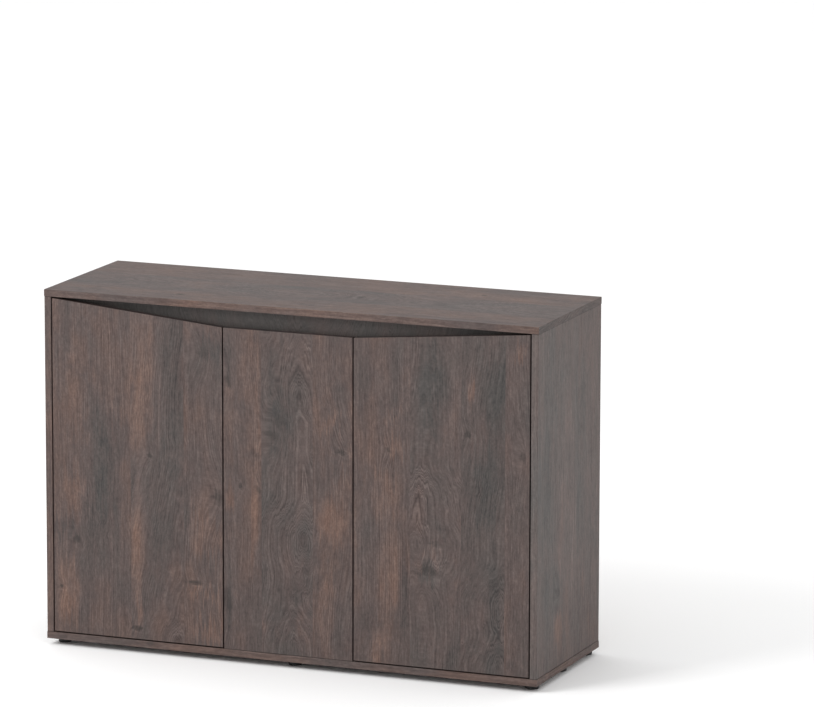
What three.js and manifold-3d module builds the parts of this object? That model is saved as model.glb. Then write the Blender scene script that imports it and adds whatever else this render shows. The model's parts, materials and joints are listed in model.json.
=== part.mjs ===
// Aquarium stand cabinet: a two-door board cabinet with a fixed centre front panel, on nine low feet.
// Millimetres. X runs left to right seen from the front, Y from front to rear, Z up from the floor.

import * as THREE from 'three';
import { mergeVertices } from 'three/addons/utils/BufferGeometryUtils.js';
import Module from 'manifold-3d';

const wasm = await Module();
wasm.setup();

// ---------------------------------------------------------------- driving dimensions

const WIDTH = 1200;
const DEPTH = 400;
const CARCASS_HEIGHT = 813;
const FOOT_HEIGHT = 15;
const BOARD = 16;
const END_OVERHANG = 1; // top and bottom boards stand this far past the side panels
const DOOR_GAP = 3;
const CENTRE_PANEL_WIDTH = 314;
const RECESS_DROP = 40; // finger recess: top board down to the centre panel's top edge
const CENTRE_PANEL_JOINT = 0.8; // under the fixed centre panel
const FINGER_ROOM = 8; // finger recess: doors' rear face back to the rail
const RAIL_HEIGHT = 90;
const CONTACT_GAP = 0.25; // left between a fitting and the face it is fastened to
const OVERSHOOT = 1; // how far a cutting tool passes the face it cuts

const BACK_THICKNESS = 5;
const BACK_INSET = 12; // rear edge of the boards to the back panel
const GROOVE_DEPTH = 6;
const GROOVE_CLEARANCE = 0.25;
const HOSE_CUTOUT = { width: 150, height: 90, corner: 20, centreX: -300, centreZ: 640 };

const SHELF_TOP = 430;
const SHELF_SETBACK = 45; // doors' rear face back to the shelf's front edge
const SHELF_REAR_GAP = 6;
const SHELF_END_GAP = 1.5;
const SHELF_PIN = { radius: 2.5, bore: 2.8, inBoard: 7.5, collar: 4, collarWidth: 1, reach: 9 };
const PIN_ROW_PITCH = 32;
const PIN_ROW_HOLES = 3;
const PIN_ROW_INSET = 60; // shelf edge to pin, along the depth

// Hinge places are taken from the door's front outer corner: x across the door, y into the cabinet.
const LOWER_HINGE_Z = 140;
const UPPER_HINGE_Z = 670;
const CUP = { centre: 21.5, radius: 17.4, bore: 17.7, depth: 11.3, wall: 1.2, floor: 1.1, sides: 40 };
const CUP_BORE_SPARE = 0.4; // the door's bore goes this much deeper than the cup
const CUP_FLANGE = { radius: 20, thickness: 1.2, wingLength: 62, wingWidth: 15, wingOffset: 5 };
const CUP_PIN = { x: 25, y: 9.6, radius: 1.5 };
const PIN_END_IN_WALL = 0.5;
const ARM = { halfHeight: 8, sheet: 1.2, rear: 88, crankRear: 54, crankFront: 44, tip: 20 };
const ARM_WEB = { rearX: 3.5, frontX: 8 };
const ARM_CHEEK = { rearDepth: 8, frontDepth: 12, tipDepth: 9, tipSlope: 4, crankDelay: 6 };
const ARM_TIP_PIN = { x: 13, y: 22, radius: 1.5 };
const PLATE = { thickness: 2.5, wingLength: 48, wingWidth: 16, middle: 70 };
const PLATE_BLOCK = { front: 56, rear: 90, halfHeight: 6.3, top: 3.2 };
const LINK = { thickness: 1.8, halfHeight: 5, eye: 3.2, eyeHole: 1.8, tailEye: 2.6, steps: 24 };
const LINK_BENDS = [[28.1, 17.6], [30, 27.3], [26.3, 36.1], [16.6, 45]]; // from the cup pin on

const FOOT = { radius: 15, neck: 13, soleChamfer: 1.5, shoulder: 1.5, neckHeight: 2.5 };
const FOOT_COLUMN = 574; // outer feet, from the cabinet's centre line
const FOOT_ROWS = { front: -158, middle: 16, rear: 183 };

const CAM = { radius: 7.5, bore: 7.8, depth: 12, slotWidth: 2, slotDepth: 2, slotArm: 5.5 };
const CAM_FROM_END = 34;
const CAM_FROM_EDGE = 60;

const CATCH = { width: 32, height: 14, depth: 19.5, fromCentre: 196 };
const CATCH_EARS = { width: 52, depth: 12, thickness: 3, corner: 4 };
const STRIKE = { width: 40, height: 13, corner: 3, thickness: 1.2 };
const CATCH_TO_STRIKE = 0.8;
const BRACKET = { height: 40, leg: 22, thickness: 2, z: 420 };

// ---------------------------------------------------------------- derived places

const FRONT = -DEPTH / 2;
const REAR = DEPTH / 2;
const FLOOR_OF_CARCASS = FOOT_HEIGHT;
const BAY_BOTTOM = FLOOR_OF_CARCASS + BOARD;
const CARCASS_TOP = FLOOR_OF_CARCASS + CARCASS_HEIGHT;
const BAY_TOP = CARCASS_TOP - BOARD;
const SIDE_OUTER = WIDTH / 2 - END_OVERHANG;
const SIDE_INNER = SIDE_OUTER - BOARD;
const DOOR_REAR = FRONT + BOARD;
const RAIL_FRONT = DOOR_REAR + FINGER_ROOM;
const RAIL_REAR = RAIL_FRONT + BOARD;
const RAIL_BOTTOM = BAY_TOP - RAIL_HEIGHT;
const CENTRE_HALF = CENTRE_PANEL_WIDTH / 2;
const CENTRE_TOP = BAY_TOP - RECESS_DROP;
const DOOR_BOTTOM = BAY_BOTTOM + DOOR_GAP;
const DOOR_OUTER_TOP = BAY_TOP - DOOR_GAP;
const DOOR_WIDTH = SIDE_INNER - DOOR_GAP - (CENTRE_HALF + DOOR_GAP);
const PARTITION_HALF = BOARD / 2;
const BACK_REAR = REAR - BACK_INSET;
const BACK_FRONT = BACK_REAR - BACK_THICKNESS;
const SHELF_FRONT = DOOR_REAR + SHELF_SETBACK;
const SHELF_REAR = BACK_FRONT - SHELF_REAR_GAP;
const PIN_Z = SHELF_TOP - BOARD - SHELF_PIN.radius - CONTACT_GAP;
const CATCH_TOP = RAIL_BOTTOM - CONTACT_GAP;
const CATCH_Z = CATCH_TOP - CATCH.height / 2;

// ---------------------------------------------------------------- finishes and facets

const PIN_SIDES = 16;
const EYE_SIDES = 24;
const DISC_SIDES = 32;
const CURVE_SEGMENTS = 8; // on each quarter of a rounded corner
const WELD = 1e-4;

const FINISH = {
  wood: { color: 0x655c56, roughness: 0.55, metalness: 0 },
  back: { color: 0x6b625a, roughness: 0.7, metalness: 0 },
  steel: { color: 0xb9bab8, roughness: 0.3, metalness: 0.9 },
  zinc: { color: 0x9c9d9b, roughness: 0.45, metalness: 0.9 },
  plastic: { color: 0x17181a, roughness: 0.6, metalness: 0 },
};

function piece(name, finish, geometry) {
  const mesh = new THREE.Mesh(geometry, new THREE.MeshStandardMaterial(FINISH[finish]));
  mesh.name = name;
  return mesh;
}

// ---------------------------------------------------------------- shapes

// A box between two opposite corners.
function box([x0, y0, z0], [x1, y1, z1]) {
  const geometry = new THREE.BoxGeometry(x1 - x0, y1 - y0, z1 - z0);
  return geometry.translate((x0 + x1) / 2, (y0 + y1) / 2, (z0 + z1) / 2);
}

// A round bar of the given radius from one place to another, along an axis.
function bar(radius, [x0, y0, z0], [x1, y1, z1], sides) {
  const from = new THREE.Vector3(x0, y0, z0);
  const along = new THREE.Vector3(x1, y1, z1).sub(from);
  const geometry = new THREE.CylinderGeometry(radius, radius, along.length(), sides);
  const turn = new THREE.Quaternion().setFromUnitVectors(
    new THREE.Vector3(0, 1, 0),
    along.clone().normalize(),
  );
  const centre = from.addScaledVector(along, 0.5);
  return geometry.applyQuaternion(turn).translate(centre.x, centre.y, centre.z);
}

function outline(points) {
  return new THREE.Shape(points.map(([x, y]) => new THREE.Vector2(x, y)));
}

function roundedRectangle(width, height, radius) {
  const shape = new THREE.Shape();
  const x = width / 2 - radius;
  const y = height / 2 - radius;
  shape.absarc(x, y, radius, 0, Math.PI / 2);
  shape.absarc(-x, y, radius, Math.PI / 2, Math.PI);
  shape.absarc(-x, -y, radius, Math.PI, 1.5 * Math.PI);
  shape.absarc(x, -y, radius, 1.5 * Math.PI, 2 * Math.PI);
  return shape;
}

// An outline drawn in plan, raised from z0 to z1.
function raised(shape, z0, z1) {
  const settings = { depth: z1 - z0, bevelEnabled: false, curveSegments: CURVE_SEGMENTS };
  return new THREE.ExtrudeGeometry(shape, settings).translate(0, 0, z0);
}

// An outline drawn as seen from the front, taking the depth from y0 to y1.
function upright(shape, y0, y1) {
  const settings = { depth: y1 - y0, bevelEnabled: false, curveSegments: CURVE_SEGMENTS };
  return new THREE.ExtrudeGeometry(shape, settings).rotateX(Math.PI / 2).translate(0, y1, 0);
}

function toSolid(geometry) {
  const plain = geometry.index ? geometry.toNonIndexed() : geometry.clone();
  plain.deleteAttribute('normal');
  plain.deleteAttribute('uv');
  const merged = mergeVertices(plain, WELD);
  return new wasm.Manifold(new wasm.Mesh({
    numProp: 3,
    vertProperties: merged.attributes.position.array,
    triVerts: new Uint32Array(merged.index.array),
  }));
}

function toGeometry(solid) {
  const { vertProperties, triVerts } = solid.getMesh();
  const geometry = new THREE.BufferGeometry();
  geometry.setAttribute('position', new THREE.BufferAttribute(vertProperties, 3));
  geometry.setIndex(new THREE.BufferAttribute(triVerts, 1));
  geometry.computeVertexNormals();
  return geometry;
}

function join(...geometries) {
  return toGeometry(geometries.map(toSolid).reduce((whole, next) => whole.add(next)));
}

function cut(geometry, ...tools) {
  return toGeometry(tools.map(toSolid).reduce((whole, tool) => whole.subtract(tool), toSolid(geometry)));
}

// ---------------------------------------------------------------- carcass on the centre line

function topPanel() {
  return box([-WIDTH / 2, FRONT, BAY_TOP], [WIDTH / 2, REAR, CARCASS_TOP]);
}

function bottomPanel() {
  return box([-WIDTH / 2, FRONT, FLOOR_OF_CARCASS], [WIDTH / 2, REAR, BAY_BOTTOM]);
}

// The rail runs unbroken behind the finger recess, so the partition is notched round it.
function frontRail() {
  return box([-SIDE_INNER, RAIL_FRONT, RAIL_BOTTOM], [SIDE_INNER, RAIL_REAR, BAY_TOP]);
}

function pinRowHoles(faceX, direction) {
  const holes = [];
  for (const y of pinPlaces()) {
    for (let i = 0; i < PIN_ROW_HOLES; i += 1) {
      const z = PIN_Z + (i - (PIN_ROW_HOLES - 1) / 2) * PIN_ROW_PITCH;
      const end = faceX + direction * (SHELF_PIN.inBoard + CONTACT_GAP);
      const start = faceX - direction * OVERSHOOT;
      holes.push(bar(SHELF_PIN.bore, [start, y, z], [end, y, z], PIN_SIDES));
    }
  }
  return holes;
}

function pinPlaces() {
  return [SHELF_FRONT + PIN_ROW_INSET, SHELF_REAR - PIN_ROW_INSET];
}

function backGroove(faceX, direction) {
  const far = faceX + direction * GROOVE_DEPTH;
  const near = faceX - direction * OVERSHOOT;
  return box(
    [Math.min(near, far), BACK_FRONT - GROOVE_CLEARANCE, BAY_BOTTOM - OVERSHOOT],
    [Math.max(near, far), BACK_REAR + GROOVE_CLEARANCE, BAY_TOP + OVERSHOOT],
  );
}

// The shelf pins of the two bays stand in the partition end to end, in holes that go through it.
function centrePartition() {
  const board = box([-PARTITION_HALF, DOOR_REAR, BAY_BOTTOM], [PARTITION_HALF, REAR, BAY_TOP]);
  const railNotch = box([-BOARD, DOOR_REAR - OVERSHOOT, RAIL_BOTTOM], [BOARD, RAIL_REAR, BAY_TOP + OVERSHOOT]);
  const pinHoles = pinPlaces().map((y) =>
    bar(SHELF_PIN.bore, [-BOARD, y, PIN_Z], [BOARD, y, PIN_Z], PIN_SIDES));
  const grooves = [backGroove(-PARTITION_HALF, 1), backGroove(PARTITION_HALF, -1)];
  return cut(board, railNotch, ...grooves, ...pinHoles);
}

function centreFrontPanel() {
  return box([-CENTRE_HALF, FRONT, BAY_BOTTOM + CENTRE_PANEL_JOINT], [CENTRE_HALF, DOOR_REAR, CENTRE_TOP]);
}

// A glide: a round foot with a narrower neck against the board and a chamfered sole.
function foot(x, y) {
  const { radius: full, neck, soleChamfer, shoulder, neckHeight } = FOOT;
  const profile = [
    [0, 0],
    [full - soleChamfer, 0],
    [full, soleChamfer],
    [full, FOOT_HEIGHT - neckHeight - shoulder],
    [neck, FOOT_HEIGHT - neckHeight],
    [neck, FOOT_HEIGHT],
    [0, FOOT_HEIGHT],
  ];
  const points = profile.map(([radius, z]) => new THREE.Vector2(radius, z));
  return new THREE.LatheGeometry(points, DISC_SIDES).rotateX(Math.PI / 2).translate(x, y, 0);
}

function centreParts() {
  const group = new THREE.Group();
  group.add(
    piece('top_panel', 'wood', topPanel()),
    piece('bottom_panel', 'wood', bottomPanel()),
    piece('front_rail', 'wood', frontRail()),
    piece('centre_partition', 'wood', centrePartition()),
    piece('centre_front_panel', 'wood', centreFrontPanel()),
  );
  for (const [row, y] of Object.entries(FOOT_ROWS)) {
    group.add(piece(`centre_${row}_foot`, 'plastic', foot(0, y)));
  }
  return group;
}

// ---------------------------------------------------------------- boards of one half, drawn for the left

function camPlaces() {
  const ends = [['lower', BAY_BOTTOM + CAM_FROM_END], ['upper', BAY_TOP - CAM_FROM_END]];
  const edges = [['front', FRONT + CAM_FROM_EDGE], ['rear', REAR - CAM_FROM_EDGE]];
  return ends.flatMap(([level, z]) => edges.map(([end, y]) => ({ name: `${level}_${end}_cam_lock`, y, z })));
}

function sidePanel() {
  const board = box([-SIDE_OUTER, FRONT, BAY_BOTTOM], [-SIDE_INNER, REAR, BAY_TOP]);
  const camBores = camPlaces().map(({ y, z }) => {
    const end = -SIDE_INNER - CAM.depth - CONTACT_GAP;
    return bar(CAM.bore, [-SIDE_INNER + OVERSHOOT, y, z], [end, y, z], DISC_SIDES);
  });
  return cut(board, backGroove(-SIDE_INNER, -1), ...pinRowHoles(-SIDE_INNER, -1), ...camBores);
}

function shelf() {
  return box(
    [-SIDE_INNER + SHELF_END_GAP, SHELF_FRONT, SHELF_TOP - BOARD],
    [-PARTITION_HALF - SHELF_END_GAP, SHELF_REAR, SHELF_TOP],
  );
}

function backPanel() {
  const reach = GROOVE_DEPTH - GROOVE_CLEARANCE;
  const sheet = box(
    [-SIDE_INNER - reach, BACK_FRONT, BAY_BOTTOM],
    [-PARTITION_HALF + reach, BACK_REAR, BAY_TOP],
  );
  const { width, height, corner, centreX, centreZ } = HOSE_CUTOUT;
  const hole = roundedRectangle(width, height, corner);
  const opening = upright(hole, BACK_FRONT - OVERSHOOT, BACK_REAR + OVERSHOOT);
  return cut(sheet, opening.translate(centreX, 0, centreZ));
}

// A shelf pin: a shank in the board, a collar against its face and a peg under the shelf.
function shelfPin(faceX, direction, y) {
  const { radius, inBoard, collar, collarWidth, reach } = SHELF_PIN;
  const stations = [
    [radius, -inBoard],
    [radius, CONTACT_GAP],
    [collar, CONTACT_GAP],
    [collar, CONTACT_GAP + collarWidth],
    [radius, CONTACT_GAP + collarWidth],
    [radius, reach],
  ];
  const profile = [[0, -inBoard], ...stations, [0, reach]];
  const points = profile.map(([r, along]) => new THREE.Vector2(r, along));
  const turn = direction > 0 ? -Math.PI / 2 : Math.PI / 2;
  return new THREE.LatheGeometry(points, PIN_SIDES).rotateZ(turn).translate(faceX, y, PIN_Z);
}

// The disc that draws two boards together, with a cross slot for the screwdriver.
function camLock(y, z) {
  const face = -SIDE_INNER - CONTACT_GAP;
  const disc = bar(CAM.radius, [face - CAM.depth + 2 * CONTACT_GAP, y, z], [face, y, z], DISC_SIDES);
  const half = CAM.slotWidth / 2;
  const arm = CAM.slotArm;
  const floor = face - CAM.slotDepth;
  const open = face + OVERSHOOT;
  const slotAcross = box([floor, y - arm, z - half], [open, y + arm, z + half]);
  const slotDown = box([floor, y - half, z - arm], [open, y + half, z + arm]);
  return cut(disc, slotAcross, slotDown);
}

// An angle that ties the centre front panel to the partition.
function panelBracket() {
  const { height, leg, thickness, z } = BRACKET;
  const x = -PARTITION_HALF - CONTACT_GAP;
  const y = DOOR_REAR + CONTACT_GAP;
  const angle = outline([
    [x, y],
    [x, y + leg],
    [x - thickness, y + leg],
    [x - thickness, y + thickness],
    [x - leg, y + thickness],
    [x - leg, y],
  ]);
  return raised(angle, z - height / 2, z + height / 2);
}

// The catch hangs under the rail by its two ears, and its nose ends just short of the strike plate.
function catchBody() {
  const front = DOOR_REAR + CONTACT_GAP + STRIKE.thickness + CATCH_TO_STRIKE;
  const rear = front + CATCH.depth;
  const half = CATCH.width / 2;
  const housing = box([-half, front, CATCH_TOP - CATCH.height], [half, rear, CATCH_TOP]);
  const { width, depth, thickness, corner } = CATCH_EARS;
  const plate = raised(roundedRectangle(width, depth, corner), CATCH_TOP - thickness, CATCH_TOP);
  const ears = plate.translate(0, rear - depth / 2, 0);
  return join(housing, ears).translate(-CATCH.fromCentre, 0, 0);
}

// ---------------------------------------------------------------- door, drawn from its front outer corner

function doorPanel() {
  const front = outline([
    [0, DOOR_BOTTOM],
    [DOOR_WIDTH, DOOR_BOTTOM],
    [DOOR_WIDTH, CENTRE_TOP],
    [0, DOOR_OUTER_TOP],
  ]);
  const boreFloor = BOARD - CUP.depth - CUP_BORE_SPARE;
  const bores = [LOWER_HINGE_Z, UPPER_HINGE_Z].map((z) =>
    bar(CUP.bore, [CUP.centre, boreFloor, z], [CUP.centre, BOARD + OVERSHOOT, z], CUP.sides));
  return cut(upright(front, 0, BOARD), ...bores);
}

function strikePlate() {
  const x = SIDE_INNER - DOOR_GAP - CATCH.fromCentre;
  const y = BOARD + CONTACT_GAP;
  const plate = roundedRectangle(STRIKE.width, STRIKE.height, STRIKE.corner);
  return upright(plate, y, y + STRIKE.thickness).translate(x, 0, CATCH_Z);
}

// ---------------------------------------------------------------- concealed hinge, z from its middle

// The cup sits in the door's bore; its winged flange lies on the door's rear face.
function hingeCup() {
  const { centre, radius, depth, wall, floor, sides } = CUP;
  const face = BOARD + CONTACT_GAP;
  const top = face + CUP_FLANGE.thickness;
  const bottom = BOARD - depth;
  const wings = upright(
    roundedRectangle(CUP_FLANGE.wingWidth, CUP_FLANGE.wingLength, CUP_FLANGE.wingWidth / 2),
    face,
    top,
  ).translate(centre + CUP_FLANGE.wingOffset, 0, 0);
  const shell = join(
    bar(radius, [centre, bottom, 0], [centre, top, 0], sides),
    bar(CUP_FLANGE.radius, [centre, face, 0], [centre, top, 0], sides),
    wings,
  );
  const hollow = bar(radius - wall, [centre, bottom + floor, 0], [centre, top + OVERSHOOT, 0], sides);
  const pinHalf = radius - wall + PIN_END_IN_WALL;
  const pin = bar(
    CUP_PIN.radius,
    [CUP_PIN.x, CUP_PIN.y, -pinHalf],
    [CUP_PIN.x, CUP_PIN.y, pinHalf],
    PIN_SIDES,
  );
  return join(cut(shell, hollow), pin);
}

// The arm: a folded steel channel, cranked away from the side panel towards the door, open to the bay.
function hingeArm() {
  const { halfHeight, sheet, rear, crankRear, crankFront, tip } = ARM;
  const { rearX, frontX } = ARM_WEB;
  const { rearDepth, frontDepth, tipDepth, tipSlope, crankDelay } = ARM_CHEEK;
  const innerLine = [[rearX, rear], [rearX, crankRear], [frontX, crankFront], [frontX, tip]];
  const web = outline([
    ...innerLine,
    [frontX + sheet, tip],
    [frontX + sheet, crankFront],
    [rearX + sheet, crankRear],
    [rearX + sheet, rear],
  ]);
  const cheek = outline([
    ...innerLine,
    [frontX + tipDepth, tip],
    [frontX + frontDepth, tip + tipSlope],
    [frontX + frontDepth, crankFront],
    [rearX + rearDepth, crankRear + crankDelay],
    [rearX + rearDepth, rear],
  ]);
  const pinHalf = halfHeight - PIN_END_IN_WALL;
  const { x, y, radius } = ARM_TIP_PIN;
  return join(
    raised(web, -halfHeight, halfHeight),
    raised(cheek, -halfHeight, -halfHeight + sheet),
    raised(cheek, halfHeight - sheet, halfHeight),
    bar(radius, [x, y, -pinHalf], [x, y, pinHalf], PIN_SIDES),
  );
}

// The mounting plate: a winged base on the side panel and the block that the arm sits over.
function hingePlate() {
  const face = -DOOR_GAP + CONTACT_GAP;
  const wings = roundedRectangle(PLATE.wingLength, PLATE.wingWidth, PLATE.wingWidth / 2);
  const base = raised(wings, 0, PLATE.thickness).rotateY(Math.PI / 2).translate(face, PLATE.middle, 0);
  const { front, rear, halfHeight, top } = PLATE_BLOCK;
  return join(base, box([face, front, -halfHeight], [top, rear, halfHeight]));
}

// The link turns on the cup's pin. Its far eye meets the arm's tip pin when the door is fully open.
function hingeLink() {
  const { thickness, halfHeight: h, eye, eyeHole, tailEye, steps } = LINK;
  const route = new THREE.SplineCurve(
    [[CUP_PIN.x, CUP_PIN.y], ...LINK_BENDS].map(([x, y]) => new THREE.Vector2(x, y)),
  );
  const near = [];
  const far = [];
  for (let i = 0; i <= steps; i += 1) {
    const t = i / steps;
    const at = route.getPoint(t);
    const across = route.getTangent(t).rotateAround(new THREE.Vector2(), Math.PI / 2);
    near.push(at.clone().addScaledVector(across, thickness / 2));
    far.push(at.clone().addScaledVector(across, -thickness / 2));
  }
  const strip = new THREE.Shape([...far, ...near.reverse()]);
  const end = route.getPoint(1);
  const { x, y } = CUP_PIN;
  const hub = bar(eye, [x, y, -h], [x, y, h], EYE_SIDES);
  const hubHole = bar(eyeHole, [x, y, -h - OVERSHOOT], [x, y, h + OVERSHOOT], EYE_SIDES);
  const tail = bar(tailEye, [end.x, end.y, -h], [end.x, end.y, h], PIN_SIDES);
  return cut(join(raised(strip, -h, h), hub, tail), hubHole);
}

function hinge(name, z) {
  const group = new THREE.Group();
  group.position.z = z;
  group.add(
    piece(`${name}_hinge_cup`, 'steel', hingeCup()),
    piece(`${name}_hinge_link`, 'steel', hingeLink()),
    piece(`${name}_hinge_arm`, 'steel', hingeArm()),
    piece(`${name}_hinge_plate`, 'steel', hingePlate()),
  );
  return group;
}

// ---------------------------------------------------------------- one half of the cabinet

function halfParts(side) {
  const group = new THREE.Group();
  group.add(
    piece(`${side}_side_panel`, 'wood', sidePanel()),
    piece(`${side}_shelf`, 'wood', shelf()),
    piece(`${side}_back_panel`, 'back', backPanel()),
    piece(`${side}_panel_bracket`, 'steel', panelBracket()),
    piece(`${side}_door_catch`, 'plastic', catchBody()),
  );
  for (const { name, y, z } of camPlaces()) {
    group.add(piece(`${side}_${name}`, 'zinc', camLock(y, z)));
  }
  pinPlaces().forEach((y, i) => {
    const end = i === 0 ? 'front' : 'rear';
    group.add(
      piece(`${side}_outer_${end}_shelf_pin`, 'steel', shelfPin(-SIDE_INNER, 1, y)),
      piece(`${side}_inner_${end}_shelf_pin`, 'steel', shelfPin(-PARTITION_HALF, -1, y)),
    );
  });
  for (const [row, y] of Object.entries(FOOT_ROWS)) {
    group.add(piece(`${side}_${row}_foot`, 'plastic', foot(-FOOT_COLUMN, y)));
  }

  const doorCorner = new THREE.Group();
  doorCorner.position.set(-SIDE_INNER + DOOR_GAP, FRONT, 0);
  doorCorner.add(
    piece(`${side}_door`, 'wood', doorPanel()),
    piece(`${side}_strike_plate`, 'steel', strikePlate()),
    hinge(`${side}_lower`, LOWER_HINGE_Z),
    hinge(`${side}_upper`, UPPER_HINGE_Z),
  );
  group.add(doorCorner);
  return group;
}

const cabinet = new THREE.Group();
const rightHalf = halfParts('right');
rightHalf.scale.x = -1;
cabinet.add(centreParts(), halfParts('left'), rightHalf);

export default cabinet;
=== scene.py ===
"""The looks of the aquarium stand cabinet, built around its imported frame.

Metres, +Z up, the origin on the floor, the front facing -Y.
"""

import json
import math

import bmesh
import bpy
from mathutils import Matrix, Vector


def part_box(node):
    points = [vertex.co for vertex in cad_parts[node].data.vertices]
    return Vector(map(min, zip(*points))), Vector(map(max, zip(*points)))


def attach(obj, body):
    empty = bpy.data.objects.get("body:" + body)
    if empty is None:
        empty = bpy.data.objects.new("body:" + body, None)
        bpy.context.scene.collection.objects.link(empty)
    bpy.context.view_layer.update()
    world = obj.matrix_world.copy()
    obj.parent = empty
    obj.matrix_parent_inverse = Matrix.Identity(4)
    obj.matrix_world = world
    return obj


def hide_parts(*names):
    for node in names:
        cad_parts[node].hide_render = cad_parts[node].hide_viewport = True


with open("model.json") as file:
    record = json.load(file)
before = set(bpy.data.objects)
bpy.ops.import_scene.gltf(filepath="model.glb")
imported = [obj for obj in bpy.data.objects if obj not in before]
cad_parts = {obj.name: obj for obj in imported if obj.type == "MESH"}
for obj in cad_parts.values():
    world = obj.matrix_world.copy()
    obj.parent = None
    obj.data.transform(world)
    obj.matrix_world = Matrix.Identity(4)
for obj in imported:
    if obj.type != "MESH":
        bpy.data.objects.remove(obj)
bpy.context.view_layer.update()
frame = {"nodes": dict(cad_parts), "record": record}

MM = 0.001
SIDES = ("left", "right")
LEVELS = ("lower", "upper")
INWARD = {"left": 1, "right": -1}  # the way along X from a side panel into the cabinet
UP_AND_DOWN = (("upper", 1), ("lower", -1))
X_AXIS, Y_AXIS, Z_AXIS = 0, 1, 2
BODY_OF = {
    node: body
    for body, nodes in frame["record"]["behaviour"]["bodies"].items()
    for node in nodes
}

# -------- camera

IMAGE_WIDTH = 814
SENSOR_WIDTH = 36.0
FOCAL_PIXELS = 6041.0
CLIP_END = 200
CAMERA_PLACE = (5.197, -12.381, 3.3205)
CAMERA_AZIMUTH = math.radians(21.95)
CAMERA_DROP = math.radians(11.09)
CAMERA_ROLL = math.radians(0.12)


def add_camera():
    data = bpy.data.cameras.new("camera")
    data.sensor_width = SENSOR_WIDTH
    data.lens = FOCAL_PIXELS / IMAGE_WIDTH * SENSOR_WIDTH
    data.clip_end = CLIP_END
    camera = bpy.data.objects.new("camera", data)
    turn = Matrix.Rotation(CAMERA_AZIMUTH, 4, "Z") @ Matrix.Rotation(math.pi / 2 - CAMERA_DROP, 4, "X")
    camera.matrix_world = Matrix.Translation(CAMERA_PLACE) @ turn @ Matrix.Rotation(CAMERA_ROLL, 4, "Z")
    bpy.context.scene.collection.objects.link(camera)
    bpy.context.scene.camera = camera


# -------- shader graphs


def rgb(red, green, blue):
    """A screen colour, 0 to 255, as the linear colour that a shader takes."""
    def linear(value):
        value /= 255
        return value / 12.92 if value <= 0.04045 else ((value + 0.055) / 1.055) ** 2.4

    return (linear(red), linear(green), linear(blue), 1.0)


class Graph:
    """Adds nodes to a tree. What it takes may be a number, a tuple or another node's output."""

    def __init__(self, tree):
        self.tree = tree

    def node(self, kind, inputs=None, **settings):
        made = self.tree.nodes.new(kind)
        for name, value in settings.items():
            setattr(made, name, value)
        for name, value in (inputs or {}).items():
            self.feed(made.inputs[name], value)
        return made

    def feed(self, socket, value):
        if isinstance(value, bpy.types.NodeSocket):
            self.tree.links.new(value, socket)
        else:
            socket.default_value = value

    def math(self, operation, a, b=0.0):
        return self.node("ShaderNodeMath", {0: a, 1: b}, operation=operation).outputs[0]

    def add(self, a, b):
        return self.math("ADD", a, b)

    def times(self, a, b):
        return self.math("MULTIPLY", a, b)

    def weighted(self, *pairs):
        """The sum of values, each times its amount."""
        total = 0.0
        for amount, value in pairs:
            total = self.add(self.times(value, amount), total)
        return total

    def vector(self, operation, a, b=(0.0, 0.0, 0.0)):
        made = self.node("ShaderNodeVectorMath", {0: a, 1: b}, operation=operation)
        return made.outputs["Value" if operation == "LENGTH" else "Vector"]

    def combine(self, x=0.0, y=0.0, z=0.0):
        return self.node("ShaderNodeCombineXYZ", {0: x, 1: y, 2: z}).outputs[0]

    def separate(self, value):
        return self.node("ShaderNodeSeparateXYZ", {0: value}).outputs

    def drift(self, place, reach, across_scale, along_scale, detail):
        """Noise in metres, nearly all of it within reach."""
        return self.times(self.noise(place, (across_scale, along_scale, 1), detail), reach)

    def spread(self, value, low, high, to_low=0.0, to_high=1.0, smooth=False):
        inputs = {"Value": value, "From Min": low, "From Max": high, "To Min": to_low, "To Max": to_high}
        kind = "SMOOTHSTEP" if smooth else "LINEAR"
        return self.node("ShaderNodeMapRange", inputs, interpolation_type=kind).outputs[0]

    def hump(self, value, start, full, fading, gone):
        """Rises smoothly from 0 at start to 1 at full, and falls from 1 at fading to 0 at gone."""
        rising = self.spread(value, start, full, smooth=True)
        falling = self.spread(value, gone, fading, smooth=True)
        return self.times(rising, falling)

    def mix(self, factor, a, b):
        """Mixes colours: the node's colour sockets are inputs 6 and 7 and output 2."""
        inputs = {"Factor": factor, 6: a, 7: b}
        return self.node("ShaderNodeMix", inputs, data_type="RGBA").outputs[2]

    def blend(self, factor, a, b):
        """Mixes numbers: the node's number sockets are inputs 2 and 3 and output 0."""
        return self.node("ShaderNodeMix", {"Factor": factor, 2: a, 3: b}).outputs[0]

    def ramp(self, factor, stops, interpolation="LINEAR"):
        made = self.node("ShaderNodeValToRGB", {0: factor})
        made.color_ramp.interpolation = interpolation
        elements = made.color_ramp.elements
        while len(elements) < len(stops):
            elements.new(1.0)
        for element, (place, colour) in zip(elements, stops):
            element.position = place
            element.color = colour
        return made.outputs[0]

    def noise(self, place, scale, detail=2.0, roughness=0.5):
        """Smooth noise about 0, nearly all of it from -1 to 1."""
        scaled = self.vector("MULTIPLY", place, scale)
        inputs = {"Vector": scaled, "Scale": 1.0, "Detail": detail, "Roughness": roughness}
        made = self.node("ShaderNodeTexNoise", inputs)
        return self.spread(made.outputs[0], 0.2, 0.8, -1.0, 1.0)


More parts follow.
